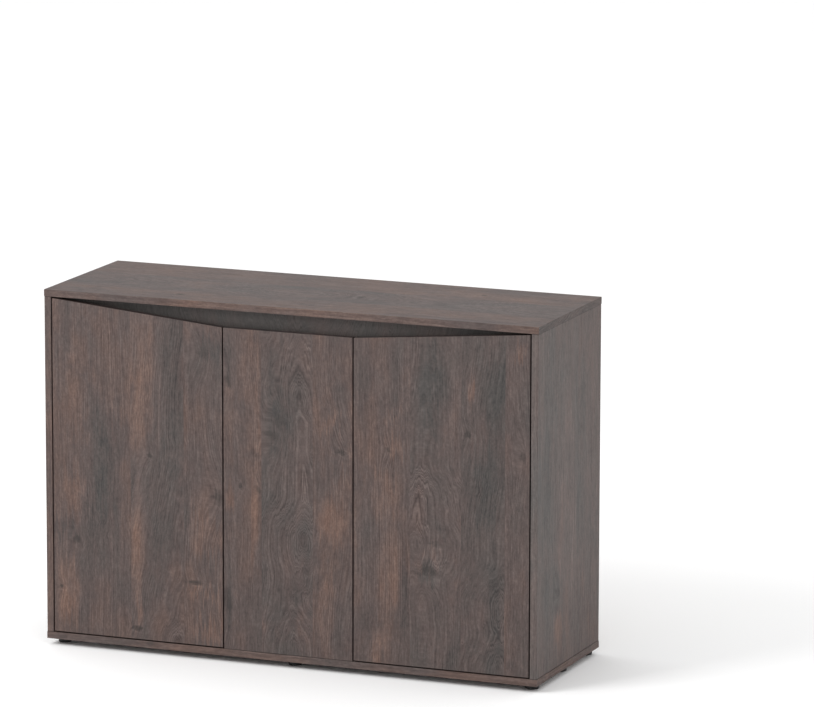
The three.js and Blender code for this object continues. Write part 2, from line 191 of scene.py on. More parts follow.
def new_group(name, inputs, outputs):
    """A new node group's graph, inputs and outputs, whose kinds follow from their names."""
    tree = bpy.data.node_groups.new(name, "ShaderNodeTree")
    for direction, names in (("INPUT", inputs), ("OUTPUT", outputs)):
        for socket in names:
            kind = "NodeSocketFloat"
            if socket.startswith("Place"):
                kind = "NodeSocketVector"
            if socket == "Color":
                kind = "NodeSocketColor"
            tree.interface.new_socket(socket, in_out=direction, socket_type=kind)
    graph = Graph(tree)
    return graph, graph.node("NodeGroupInput").outputs, graph.node("NodeGroupOutput").inputs


def use_group(graph, tree, inputs):
    return graph.node("ShaderNodeGroup", inputs, node_tree=tree).outputs


class Surface(Graph):
    """A new material's graph, with plain values set on its Principled shader."""

    def __init__(self, name, **values):
        self.material = bpy.data.materials.new(name)
        self.material.use_nodes = True
        super().__init__(self.material.node_tree)
        self.shader = self.tree.nodes["Principled BSDF"]
        for socket, value in values.items():
            self.shader.inputs[socket.replace("_", " ")].default_value = value

    def place(self):
        return self.node("ShaderNodeTexCoord").outputs["Object"]

    def finish(self, colour, roughness, height, strength, distance):
        """Sets the colour, the roughness and a bump of the given height, and returns the material."""
        bump = self.node("ShaderNodeBump", {"Height": height, "Strength": strength, "Distance": distance})
        self.feed(self.shader.inputs["Base Color"], colour)
        self.feed(self.shader.inputs["Roughness"], roughness)
        self.feed(self.shader.inputs["Normal"], bump.outputs[0])
        return self.material


# -------- oak print


def tones(*colours):
    """Evenly spaced ramp stops."""
    return [(index / (len(colours) - 1), rgb(*colour)) for index, colour in enumerate(colours)]


# From dark to light, in the print's cool, plain and warm places.
OAK_COOL = tones((32, 29, 28), (49, 46, 45), (67, 63, 61), (87, 82, 80), (112, 107, 104))
OAK_PLAIN = tones((39, 29, 28), (58, 47, 45), (77, 65, 62), (98, 85, 81), (125, 112, 107))
OAK_WARM = tones((45, 28, 24), (67, 48, 41), (90, 68, 59), (113, 89, 78), (142, 118, 103))
COOLEST, WARMEST = -1.1, 1.1
KNOT_COLOUR = rgb(36, 32, 30)
PORE_COLOUR = rgb(34, 29, 28)

RING_SPACING = 0.0046
ARCH_POINT = 1.35  # 2 makes the growth rings' arches round, and 1 makes them pointed
KNOT_VARIETY = (170, 130, 0)  # gives each knot its own stretch of the noise
KNOT_RAGGEDNESS = 0.75
KNOT_LIFT = 1.9  # growth rings' lift over a knot, in its lesser half size
LIFT_NARROWS = (0.5, 0.2, 0.0)  # the lift reaches 2 half widths across, and 5 half lengths along
CURL_SHIFT = (-0.9, 0.7, 0.0)  # from the pale curl's middle to the knot's, in half sizes
JOINT_SHADE_WIDTH = 2.2 * MM  # from a board's end to where its painted joint shade is gone
PRINT_BUMP = 0.25 * MM


def patch_group(name, outputs):
    """A group for one knot or cloud, and how far a place is from its middle in its half sizes."""
    graph, given, result = new_group(name, ["Place", "PlaceOfMiddle", "PlaceSize"], outputs)
    away = graph.vector("SUBTRACT", given["Place"], given["PlaceOfMiddle"])
    return graph, given, result, graph.vector("DIVIDE", away, given["PlaceSize"])


def knot_group():
    """A knot: its dark core, the pale curl beside it, and how far it lifts the growth rings round it."""
    graph, given, result, share = patch_group("knot", ["Core", "Curl", "Lift"])
    own = graph.vector("ADD", share, graph.vector("MULTIPLY", given["PlaceOfMiddle"], KNOT_VARIETY))
    ragged = graph.combine(
        graph.times(graph.noise(own, (0.7, 0.55, 1), 3.0, 0.65), KNOT_RAGGEDNESS),
        graph.times(graph.noise(own, (0.55, 0.8, 1), 3.0, 0.65), KNOT_RAGGEDNESS),
    )
    ragged_share = graph.vector("ADD", share, ragged)
    core = graph.vector("LENGTH", ragged_share)
    graph.feed(result["Core"], graph.spread(core, 1.45, 0.45, smooth=True))
    curl = graph.vector("LENGTH", graph.vector("ADD", ragged_share, CURL_SHIFT))
    graph.feed(result["Curl"], graph.hump(curl, 0.7, 1.2, 1.3, 1.9))
    reach = graph.vector("LENGTH", graph.vector("MULTIPLY", share, LIFT_NARROWS))
    fall = graph.times(graph.times(reach, reach), -1.0)
    graph.feed(result["Lift"], graph.math("EXPONENT", fall))
    return graph.tree


def cloud_group():
    """A soft patch: full well inside its outline, and gone a little outside it."""
    graph, _, result, share = patch_group("cloud", ["Amount"])
    away = graph.vector("LENGTH", share)
    graph.feed(result["Amount"], graph.spread(away, 1.25, 0.35, smooth=True))
    return graph.tree


def oak_group():
    """The oak figure. Place is metres across and along the grain, and Rings the distance from the pith."""
    names = ["Place", "Rings", "Seed", "Contrast", "Tone", "Warmth", "Core", "Curl", "Flare"]
    graph, given, result = new_group("oak", names, ["Color", "Roughness", "Height"])
    seeded = graph.vector("ADD", given["Place"], graph.combine(0.0, 0.0, given["Seed"]))
    across, along, _ = graph.separate(seeded)
    grain = graph.combine(given["Rings"], along, given["Seed"])

    def field(place, across_scale, along_scale, layer, detail=2.0, roughness=0.5):
        """Noise with its scales across and along, in waves to the metre. Each layer has its own."""
        moved = graph.vector("ADD", place, (0.0, 0.0, layer * 7.3))
        return graph.noise(moved, (across_scale, along_scale, 1.0), detail, roughness)

    # Growth rings: a dark porous line and a pale one beside it, strong in some places and faint in others.
    uneven = field(graph.combine(given["Rings"]), 70, 1, 3)
    turns = graph.add(graph.math("DIVIDE", given["Rings"], RING_SPACING), graph.times(uneven, 1.6))
    year = graph.math("FRACT", turns)
    early = graph.hump(year, 0.0, 0.2, 0.2, 0.6)
    late = graph.hump(year, 0.45, 0.75, 0.85, 1.0)
    ring_strength = graph.spread(field(seeded, 12, 6, 4), -0.5, 0.6, 0.15, 1.0, smooth=True)
    ring_strength = graph.add(ring_strength, given["Flare"])
    ring = graph.times(graph.math("SUBTRACT", late, early), ring_strength)

    # Lines that follow the rings, from the finest to the broadest.
    hair = field(grain, 230, 16, 5, 3.0, 0.65)
    dash = field(grain, 250, 70, 6, 2.0, 0.6)
    tick = field(grain, 270, 200, 15, 1.0)
    streak = field(grain, 95, 5, 7, 3.0, 0.6)
    band = field(grain, 30, 2.2, 8, 2.0, 0.55)

    # Patches that don't: flames across the grain, mottle and broad clouds, in some places more than others.
    figured = graph.spread(field(seeded, 10, 6, 14), -0.1, 0.6, 0.3, 1.8, smooth=True)
    flame = graph.times(field(seeded, 38, 75, 9, 3.0, 0.6), figured)
    mottle = graph.times(field(seeded, 48, 26, 10, 3.0, 0.6), figured)
    patch = field(seeded, 15, 7, 11, 3.0, 0.6)
    warm_patch = field(seeded, 10, 3.5, 13, 2.0)

    pore_line = field(graph.combine(across, along, given["Seed"]), 640, 45, 12, 1.0)
    pore_share = graph.math("SUBTRACT", pore_line, graph.times(ring, 0.3))
    pore = graph.spread(pore_share, 0.35, 0.85, smooth=True)

    warmth = graph.weighted(
        (0.5, patch), (0.45, warm_patch), (0.35, band), (0.25, mottle), (1.0, given["Warmth"])
    )
    flaming = graph.spread(warmth, -0.5, 1.5, 0.015, 0.06)
    figure = graph.weighted(
        (0.15, hair), (0.13, dash), (0.07, tick), (0.06, streak), (0.04, band),
        (0.04, mottle), (0.04, patch), (0.075, ring), (flaming, flame), (0.11, given["Curl"]),
    )
    share = graph.add(graph.weighted((given["Contrast"], figure), (1.0, given["Tone"])), 0.5)
    cool, plain, warm = (graph.ramp(share, stops) for stops in (OAK_COOL, OAK_PLAIN, OAK_WARM))
    colour = graph.mix(graph.spread(warmth, COOLEST, 0.0), cool, plain)
    colour = graph.mix(graph.spread(warmth, 0.0, WARMEST), colour, warm)
    colour = graph.mix(graph.times(pore, 0.3), colour, PORE_COLOUR)
    colour = graph.mix(graph.times(given["Core"], 0.9), colour, KNOT_COLOUR)
    graph.feed(result["Color"], colour)

    height = graph.weighted((0.25, hair), (-0.6, pore), (0.3, ring), (-0.5, given["Core"]))
    graph.feed(result["Height"], height)
    graph.feed(result["Roughness"], graph.spread(height, -0.8, 0.3, 0.7, 0.55))
    return graph.tree


KNOT = knot_group()
CLOUD = cloud_group()
OAK = oak_group()
FACING = 0.7  # a face looks along an axis where its normal's share of that axis is past this
END_SHIFT = 0.137  # of the print on a board's ends, across the grain


def board_place(graph, low, axes):
    """Metres across and along a board's grain from its low corner, and 1 on its edges.

    On the board's ends the grain follows the edge strip.
    """
    across, thick, along = axes
    coordinates = graph.node("ShaderNodeTexCoord").outputs
    place = graph.separate(graph.vector("SUBTRACT", coordinates["Object"], tuple(low)))
    facing = graph.separate(coordinates["Normal"])
    is_end = graph.math("GREATER_THAN", graph.math("ABSOLUTE", facing[along]), FACING)
    is_edge = graph.math("LESS_THAN", graph.math("ABSOLUTE", facing[thick]), FACING)
    across_face = graph.add(place[across], place[thick])
    across_end = graph.add(place[thick], END_SHIFT)
    print_place = graph.combine(
        graph.blend(is_end, across_face, across_end),
        graph.blend(is_end, place[along], place[across]),
    )
    return print_place, is_edge


def pith_distance(graph, across, share_along, line):
    """Distance from a stave's pith line, whose points are (share of the length, across, depth)."""
    stops = [(share, (pith, depth, 0.0, 1.0)) for share, pith, depth in line]
    pith, depth, _ = graph.separate(graph.ramp(share_along, stops, "EASE"))
    aside = graph.math("POWER", graph.math("ABSOLUTE", graph.math("SUBTRACT", across, pith)), ARCH_POINT)
    below = graph.math("POWER", depth, ARCH_POINT)
    return graph.math("POWER", graph.add(aside, below), 1 / ARCH_POINT)


def stave_print(graph, place, length, staves, seed):
    """The distance from the pith in a board's staves, and each stave's own seed, tone and warmth.

    staves are (where it starts, pith line, tone, warmth).
    """
    jagged = graph.combine(
        graph.drift(place, 0.008, 6, 2.5, 1.0),
        graph.add(graph.drift(place, 0.006, 260, 8, 2.0), graph.drift(place, 0.016, 60, 5, 2.0)),
    )
    across, along, _ = graph.separate(graph.vector("ADD", place, jagged))
    share_along = graph.math("DIVIDE", along, length)
    straight = graph.separate(place)[0]
    total = None
    for index, (start, line, tone, warmth) in enumerate(staves):
        found = [pith_distance(graph, across, share_along, line), seed + 3.7 * index, tone, warmth]
        if total is None:
            total = found
        else:
            past = graph.math("GREATER_THAN", straight, start)
            total = [graph.blend(past, before, after) for before, after in zip(total, found)]
    sway = graph.drift(place, 0.0035, 14, 4, 2.0)
    own = graph.vector("ADD", place, (seed, 0.0, 0.0))
    lively = graph.spread(graph.noise(own, (9, 6, 1)), 0.1, 0.7, smooth=True)
    swirl = graph.times(graph.drift(place, 0.007, 36, 20, 2.0), lively)
    return [graph.add(total[0], graph.add(sway, swirl))] + total[1:]


def patch(graph, tree, place, across, along, half_width, half_length):
    """What a knot or cloud gives at a place on its board."""
    given = {
        "Place": place,
        "PlaceOfMiddle": (across, along, 0.0),
        "PlaceSize": (half_width, half_length, 1.0),
    }
    return use_group(graph, tree, given)


def knotted(graph, place, rings, knots):
    """The cores and curls of a board's knots, and its rings lifted over them."""
    core, curl = 0.0, 0.0
    for across, along, half_width, half_length, darkness in knots:
        knot = patch(graph, KNOT, place, across, along, half_width, half_length)
        core = graph.math("MAXIMUM", graph.times(knot["Core"], darkness), core)
        curl = graph.math("MAXIMUM", graph.times(knot["Curl"], darkness), curl)
        lift = KNOT_LIFT * min(half_width, half_length)
        rings = graph.add(graph.times(knot["Lift"], lift), rings)
    return core, curl, rings


def clouded(graph, place, tone, warmth, clouds):
    """A board's tone and warmth with its clouds, whose outlines drift and whose insides are broken up."""
    across_drift = graph.add(graph.drift(place, 0.012, 75, 4, 3.0), graph.drift(place, 0.008, 28, 9, 2.0))
    along_drift = graph.add(graph.drift(place, 0.05, 150, 6, 3.0), graph.drift(place, 0.02, 30, 12, 2.0))
    drifting = graph.vector("ADD", place, graph.combine(across_drift, along_drift))
    broken = graph.spread(graph.noise(place, (70, 16, 1), 3.0, 0.6), -1.0, 1.0, 0.45, 1.35)
    for *outline, cloud_tone, cloud_warmth in clouds:
        amount = graph.times(patch(graph, CLOUD, drifting, *outline)["Amount"], broken)
        tone = graph.add(graph.times(amount, cloud_tone), tone)
        warmth = graph.add(graph.times(amount, cloud_warmth), warmth)
    return tone, warmth


def flared(graph, place, flares):
    """How much more a board's growth rings show."""
    total = 0.0
    for *outline, strength in flares:
        amount = patch(graph, CLOUD, place, *outline)["Amount"]
        total = graph.add(graph.times(amount, strength), total)
    return total


STRAIGHT = [(0.0, 0.6, 0.08), (0.5, 0.6, 0.09), (1.0, 0.6, 0.075)]
ONE_STAVE = [(0.0, STRAIGHT, 0.0, 0.0)]


def oak_material(
    node, axes, seed, staves=ONE_STAVE, knots=(), clouds=(), flares=(),
    tone=0.0, warmth=0.0, contrast=1.0, edge=0.0, joint_shade=0.0,
):
    """Oak print for one board.

    knots are (across, along, half width, half length, darkness);
    clouds are (across, along, half width, half length, tone, warmth);
    flares, where the growth rings show most, are (across, along, half width, half length, amount);
    edge is the painted shade that the edge faces add to the tone, and seam the painted shade in the joints at
    the board's ends.
    """
    low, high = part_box(node)
    length = high[axes[2]] - low[axes[2]]
    graph = Surface("oak_" + node, Specular_IOR_Level=0.33)
    place, is_edge = board_place(graph, low, axes)
    rings, stave_seed, stave_tone, stave_warmth = stave_print(graph, place, length, staves, seed)
    core, curl, rings = knotted(graph, place, rings, knots)

    along = graph.separate(place)[1]
    from_end = graph.math("MINIMUM", along, graph.math("SUBTRACT", length, along))
    # Painted shade, darkest at the board's ends where it meets the next board.
    in_joint_shade = graph.spread(from_end, JOINT_SHADE_WIDTH, 0.3 * JOINT_SHADE_WIDTH, smooth=True)
    # edge adds painted shade on the edge faces.
    tone_total = graph.add(graph.weighted((edge, is_edge), (joint_shade, in_joint_shade), (1.0, stave_tone)), tone)
    warmth_total = graph.add(stave_warmth, warmth)
    tone_total, warmth_total = clouded(graph, place, tone_total, warmth_total, clouds)

    oak = use_group(graph, OAK, {
        "Place": place,
        "Rings": rings,
        "Seed": stave_seed,
        "Contrast": contrast,
        "Tone": tone_total,
        "Warmth": warmth_total,
        "Core": core,
        "Curl": curl,
        "Flare": flared(graph, place, flares),
    })
    return graph.finish(oak["Color"], oak["Roughness"], oak["Height"], strength=0.35, distance=PRINT_BUMP)


# -------- other materials

PLASTIC_COLOURS = (rgb(17, 17, 18), rgb(34, 34, 35))
FERRITE_COLOURS = (rgb(38, 38, 40), rgb(62, 62, 64))
FLAKE_COLOURS = (rgb(112, 86, 58), rgb(176, 147, 108))
FIBRE_COLOURS = (rgb(74, 55, 41), rgb(112, 86, 64))


def metal_material(name, colours, roughness, grain, brushing):
    """Plated or cast metal: grain is the scale of its mottling, brushing that of fine lines along Z."""
    graph = Surface(name, Metallic=1.0)
    place = graph.place()
    mottle = graph.noise(place, (grain, grain, grain), 3.0, 0.6)
    lines = graph.noise(place, brushing, 2.0, 0.6)
    worn = graph.noise(place, (90, 90, 90), 2.0)
    colour = graph.mix(graph.spread(graph.add(mottle, worn), -1.2, 1.2), *colours)
    height = graph.add(lines, mottle)
    rough = graph.spread(height, -1.4, 1.4, roughness - 0.07, roughness + 0.09)
    return graph.finish(colour, rough, height, strength=0.25, distance=0.05 * MM)


def plastic_material():
    """Black moulded plastic with a fine spark-eroded texture."""
    graph = Surface("moulded_black_plastic", Specular_IOR_Level=0.4)
    place = graph.place()
    texture = graph.noise(place, (1500, 1500, 1500), 2.0, 0.6)
    scuff = graph.noise(place, (120, 120, 60), 3.0, 0.6)
    colour = graph.mix(graph.spread(scuff, -0.6, 1.0), *PLASTIC_COLOURS)
    rough = graph.spread(scuff, -1.0, 1.0, 0.5, 0.66)
    return graph.finish(colour, rough, texture, strength=0.4, distance=0.06 * MM)


def ferrite_material():
    """The catches' magnets: dark grey ceramic, sintered and ground."""
    graph = Surface("ground_ferrite", Specular_IOR_Level=0.45)
    place = graph.place()
    grain = graph.noise(place, (900, 900, 900), 3.0, 0.6)
    ground = graph.noise(place, (60, 60, 2400), 2.0)
    colour = graph.mix(graph.spread(grain, -0.8, 0.8), *FERRITE_COLOURS)
    rough = graph.spread(ground, -1.0, 1.0, 0.42, 0.58)
    return graph.finish(colour, rough, ground, strength=0.3, distance=0.05 * MM)


def chipboard_material():
    """The raw core of the boards, seen in their bores and grooves: pale flakes and darker glue lines."""
    graph = Surface("chipboard_core")
    place = graph.place()
    scaled = graph.vector("MULTIPLY", place, (520, 520, 900))
    flakes = graph.node("ShaderNodeTexVoronoi", {"Vector": scaled, "Scale": 1.0})
    fine = graph.noise(place, (1400, 1400, 1400), 2.0)
    share = graph.add(graph.separate(flakes.outputs["Color"])[0], graph.times(fine, 0.25))
    colour = graph.mix(graph.spread(share, 0.0, 1.0), *FLAKE_COLOURS)
    rough = graph.spread(fine, -1.0, 1.0, 0.75, 0.9)
    return graph.finish(colour, rough, share, strength=0.5, distance=0.3 * MM)


def fibreboard_material():
    """The raw rear of the thin back panels: brown felted fibres."""
    graph = Surface("fibreboard_rear")
    place = graph.place()
    felt = graph.noise(place, (420, 420, 420), 4.0, 0.7)
    cloud = graph.noise(place, (14, 14, 14), 3.0, 0.6)
    share = graph.weighted((0.5, cloud), (0.5, felt))
    colour = graph.mix(graph.spread(share, -0.9, 0.9), *FIBRE_COLOURS)
    rough = graph.spread(felt, -1.0, 1.0, 0.7, 0.85)
    return graph.finish(colour, rough, felt, strength=0.4, distance=0.1 * MM)


# -------- meshes

CREASE = math.radians(40)
FLAT_ANGLE = math.radians(0.6)
SHARP_ANGLE = math.radians(50)
SAME_PLACE = 0.001 * MM
SLIVER = 0.008 * MM  # narrower faces are closed up
ROUNDING_STEPS = 3


def new_piece(name, bm, body, slot, materials):
    """A new object that rides on a body, with its materials; the slot it is given is not used.

    It is smooth but for edges sharper than CREASE.
    """
    for face in bm.faces:
        face.smooth = True
    for edge in bm.edges:
        edge.smooth = not edge.is_manifold or edge.calc_face_angle() < CREASE
    mesh = bpy.data.meshes.new(name)
    bm.to_mesh(mesh)
    bm.free()
    for material in materials:
        mesh.materials.append(material)
    piece = bpy.data.objects.new(name, mesh)
    bpy.context.scene.collection.objects.link(piece)
    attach(piece, body)
    return piece


def softened(node, width, shortest):
    """bmesh of a CAD node, with its outer edges longer than shortest rounded to about width."""
    bm = bmesh.new()
    bm.from_mesh(frame["nodes"][node].data)
    bmesh.ops.remove_doubles(bm, verts=bm.verts, dist=SAME_PLACE)
    bmesh.ops.dissolve_limit(bm, angle_limit=FLAT_ANGLE, verts=bm.verts, edges=bm.edges)
    sharp = [
        edge
        for edge in bm.edges
        if edge.is_manifold
        and edge.is_convex
        and edge.calc_face_angle() > SHARP_ANGLE
        and edge.calc_length() > shortest
    ]
    bmesh.ops.bevel(
        bm, geom=sharp, offset=width, offset_type="OFFSET", segments=ROUNDING_STEPS,
        profile=0.5, affect="EDGES", clamp_overlap=True,
    )
    bmesh.ops.remove_doubles(bm, verts=bm.verts, dist=SLIVER)
    bmesh.ops.dissolve_degenerate(bm, edges=bm.edges, dist=SLIVER)
    return bm


def replace_softened(node, slot, materials, width, shortest, pick=None):
    """A rounded copy of a CAD node that stands for it. pick(face) gives a face's material number."""
    bm = softened(node, width, shortest)
    if pick:
        for face in bm.faces:
            face.material_index = pick(face)
    piece = new_piece(node + "_finish", bm, BODY_OF[node], slot, materials)
    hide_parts(node)
    piece.modifiers.new("even_shading", "WEIGHTED_NORMAL").keep_sharp = True
    return piece


# -------- boards

# The axes across the grain, through the board and along the grain.
UPRIGHT_FACING_FRONT = (X_AXIS, Y_AXIS, Z_AXIS)
UPRIGHT_FACING_SIDE = (Y_AXIS, X_AXIS, Z_AXIS)
LYING = (Y_AXIS, Z_AXIS, X_AXIS)

EDGE_ROUNDING = 0.8 * MM
THIN_EDGE_ROUNDING = 0.3 * MM
SHORTEST_BOARD_EDGE = 14 * MM
INSIDE = 1.2 * MM  # a bore's or groove's face lies at least this far inside its board
LARGEST_CUT_FACE = 0.005  # square metres

DARK, LIGHT = -0.085, 0.09
WARM, COOL = 0.6, -0.6
# Painted shade on the edge faces of the doors and the centre panel, which show in the gaps and under the top
# board.
PAINTED_EDGE_SHADE = -0.24
# Painted shade in the joints where a side panel meets the top and bottom boards.
PAINTED_JOINT_SHADE = -0.35

# The boards' looks, as oak_material takes them. Places are metres from a board's low corner.
LEFT_DOOR = dict(
    axes=UPRIGHT_FACING_FRONT, seed=1.3, tone=-0.022, warmth=0.02, edge=PAINTED_EDGE_SHADE,
    staves=[
        (0.0, STRAIGHT, 0.0, 0.05),
        (
            0.193,
            [
                (0.0, 0.31, 0.0), (0.1, 0.32, 0.03), (0.25, 0.33, 0.04), (0.6, 0.36, 0.05),
                (1.0, 0.38, 0.05),
            ],
            0.0,
            0.0,
        ),
        (0.325, [(0.0, 0.52, 0.06), (0.2, 0.52, 0.05), (0.5, 0.52, 0.07), (1.0, 0.52, 0.06)], 0.0, 0.1),
    ],
    flares=[(0.3, 0.04, 0.035, 0.05, 0.5), (0.37, 0.16, 0.04, 0.06, 0.3), (0.39, 0.68, 0.05, 0.05, 0.3)],
    knots=[
        (0.058, 0.22, 0.009, 0.012, 0.7),
        (0.017, 0.107, 0.007, 0.005, 0.8),
        (0.208, 0.026, 0.013, 0.006, 0.7),
        (0.35, 0.145, 0.02, 0.005, 0.75),
        (0.24, 0.43, 0.006, 0.005, 0.6),
        (0.372, 0.678, 0.015, 0.013, 0.3),
        (0.41, 0.35, 0.014, 0.016, 0.6),
    ],
    clouds=[
        (0.228, 0.64, 0.034, 0.17, 0.8 * LIGHT, 0.8 * WARM),
        (0.208, 0.15, 0.016, 0.19, 1.2 * LIGHT, 0.9 * WARM),
        (0.214, 0.4, 0.022, 0.2, 0.8 * LIGHT, 0.7 * WARM),
        (0.12, 0.4, 0.045, 0.13, 0.5 * DARK, COOL),
        (0.13, 0.28, 0.05, 0.14, 0.7 * DARK, COOL),
        (0.16, 0.46, 0.04, 0.07, 0.5 * DARK, 0.6 * COOL),
        (0.297, 0.62, 0.028, 0.15, 0.8 * DARK, 0.8 * COOL),
        (0.29, 0.3, 0.055, 0.2, 0.6 * DARK, 0.8 * COOL),
        (0.05, 0.33, 0.034, 0.055, 0.7 * LIGHT, WARM),
        (0.03, 0.24, 0.04, 0.022, 1.1 * DARK, COOL),
        (0.035, 0.11, 0.04, 0.075, 1.1 * LIGHT, 1.4 * WARM),
        (0.345, 0.25, 0.022, 0.07, 0.7 * LIGHT, 0.6 * WARM),
        (0.375, 0.128, 0.045, 0.016, 1.2 * LIGHT, WARM),
        (0.39, 0.24, 0.04, 0.06, 0.3 * LIGHT, WARM),
        (0.385, 0.03, 0.05, 0.03, 1.1 * LIGHT, 1.2 * WARM),
        (0.03, 0.05, 0.035, 0.04, 0.5 * LIGHT, 1.1 * WARM),
        (0.212, 0.06, 0.014, 0.05, 0.9 * LIGHT, WARM),
        (0.39, 0.69, 0.035, 0.035, DARK, COOL),
        (0.37, 0.24, 0.045, 0.11, 0.3 * LIGHT, 0.3 * WARM),
        (0.05, 0.62, 0.07, 0.16, 0.2 * LIGHT, 0.6 * WARM),
    ],
)
CENTRE_FRONT_PANEL = dict(
    axes=UPRIGHT_FACING_FRONT, seed=5.1, tone=-0.018, warmth=-0.1, edge=PAINTED_EDGE_SHADE,
    staves=[
        (0.0, [(0.0, 0.3, 0.06), (0.5, 0.3, 0.08), (1.0, 0.3, 0.05)], 0.0, 0.25),
        (
            0.093,
            [
                (0.0, 0.175, 0.0), (0.18, 0.165, 0.05), (0.24, 0.18, 0.04), (0.36, 0.197, 0.0),
                (0.5, 0.2, 0.05), (0.66, 0.19, 0.055), (0.8, 0.18, 0.065), (0.93, 0.18, 0.085),
                (1.0, 0.18, 0.1),
            ],
            -0.01,
            -0.2,
        ),
        (0.218, [(0.0, 0.45, 0.07), (0.5, 0.45, 0.1), (1.0, 0.45, 0.06)], 0.0, 0.2),
    ],
    flares=[(0.17, 0.6, 0.05, 0.13, 0.6), (0.19, 0.33, 0.05, 0.16, 0.8), (0.17, 0.08, 0.05, 0.1, 0.6)],
    knots=[
        (0.042, 0.38, 0.004, 0.006, 0.7),
        (0.086, 0.375, 0.005, 0.007, 0.6),
        (0.287, 0.478, 0.01, 0.006, 0.75),
        (0.012, 0.62, 0.007, 0.014, 0.6),
        (0.008, 0.11, 0.01, 0.024, 0.5),
        (0.135, 0.535, 0.012, 0.016, 0.35),
        (0.115, 0.505, 0.014, 0.012, 0.45),
        (0.217, 0.482, 0.006, 0.006, 0.4),
    ],
    clouds=[
        (0.014, 0.66, 0.01, 0.07, 1.7 * DARK, 0.8 * COOL),
        (0.012, 0.09, 0.01, 0.06, 1.6 * DARK, 0.8 * COOL),
        (0.135, 0.55, 0.04, 0.09, 1.1 * DARK, 0.9 * COOL),
        (0.14, 0.66, 0.045, 0.06, 0.5 * DARK, 0.5 * COOL),
        (0.06, 0.66, 0.04, 0.1, 0.5 * LIGHT, 0.5 * WARM),
        (0.205, 0.22, 0.01, 0.06, DARK, 0.5 * COOL),
        (0.265, 0.545, 0.03, 0.022, LIGHT, WARM),
        (0.265, 0.32, 0.045, 0.055, 0.9 * LIGHT, WARM),
        (0.29, 0.4, 0.03, 0.03, 0.5 * LIGHT, 0.6 * WARM),
        (0.088, 0.6, 0.005, 0.15, LIGHT, 0.5 * WARM),
        (0.075, 0.3, 0.01, 0.12, 0.8 * LIGHT, 0.8 * WARM),
        (0.015, 0.35, 0.014, 0.04, 0.5 * LIGHT, 1.2 * WARM),
        (0.2, 0.08, 0.03, 0.09, 0.4 * LIGHT, 0.6 * WARM),
        (0.25, 0.11, 0.022, 0.11, LIGHT, WARM),
    ],
)
RIGHT_DOOR = dict(
    axes=UPRIGHT_FACING_FRONT, seed=9.4, tone=-0.006, warmth=-0.08, edge=PAINTED_EDGE_SHADE,
    staves=[
        (0.0, STRAIGHT, 0.0, 0.15),
        (
            0.136,
            [
                (0.0, 0.165, 0.045), (0.24, 0.165, 0.04), (0.36, 0.158, 0.005), (0.45, 0.155, 0.034),
                (0.49, 0.155, 0.038), (0.6, 0.158, 0.075), (1.0, 0.17, 0.088),
            ],
            0.0,
            -0.1,
        ),
        (
            0.258,
            [
                (0.0, 0.345, 0.0), (0.12, 0.348, 0.03), (0.2, 0.35, 0.02), (0.34, 0.36, 0.055),
                (0.7, 0.38, 0.06), (1.0, 0.39, 0.07),
            ],
            -0.03,
            -0.3,
        ),
        (0.362, STRAIGHT, 0.0, 0.15),
    ],
    flares=[(0.165, 0.38, 0.032, 0.11, 1.5), (0.2, 0.25, 0.04, 0.04, 0.9), (0.345, 0.15, 0.04, 0.13, 0.7)],
    knots=[
        (0.18, 0.224, 0.02, 0.013, 0.6),
        (0.275, 0.54, 0.008, 0.007, 0.7),
        (0.083, 0.49, 0.007, 0.006, 0.6),
        (0.404, 0.5, 0.008, 0.012, 0.5),
        (0.195, 0.285, 0.014, 0.006, 0.4),
    ],
    clouds=[
        (0.175, 0.225, 0.035, 0.028, 0.9 * DARK, COOL),
        (0.19, 0.25, 0.032, 0.022, LIGHT, 0.7 * WARM),
        (0.122, 0.18, 0.009, 0.11, 1.4 * DARK, 0.5 * COOL),
        (0.185, 0.66, 0.045, 0.09, 0.7 * DARK, 0.9 * COOL),
        (0.315, 0.43, 0.052, 0.11, 0.8 * DARK, 1.1 * COOL),
        (0.325, 0.65, 0.04, 0.09, 0.5 * DARK, 0.7 * COOL),
        (0.345, 0.15, 0.025, 0.11, 0.9 * DARK, 0.5 * COOL),
        (0.277, 0.64, 0.012, 0.035, 1.1 * LIGHT, 1.5 * WARM),
        (0.065, 0.38, 0.045, 0.06, 0.7 * LIGHT, WARM),
        (0.085, 0.19, 0.026, 0.14, 0.7 * LIGHT, 0.9 * WARM),
        (0.062, 0.055, 0.024, 0.06, LIGHT, 0.8 * WARM),
        (0.09, 0.565, 0.025, 0.012, LIGHT, 0.6 * WARM),
        (0.105, 0.5, 0.03, 0.03, 0.6 * LIGHT, WARM),
        (0.36, 0.13, 0.012, 0.07, LIGHT, 0.5 * WARM),
        (0.4, 0.74, 0.02, 0.02, 0.4 * LIGHT, 1.2 * WARM),
        (0.025, 0.6, 0.02, 0.11, 0.7 * DARK, 0.2 * COOL),
    ],
)
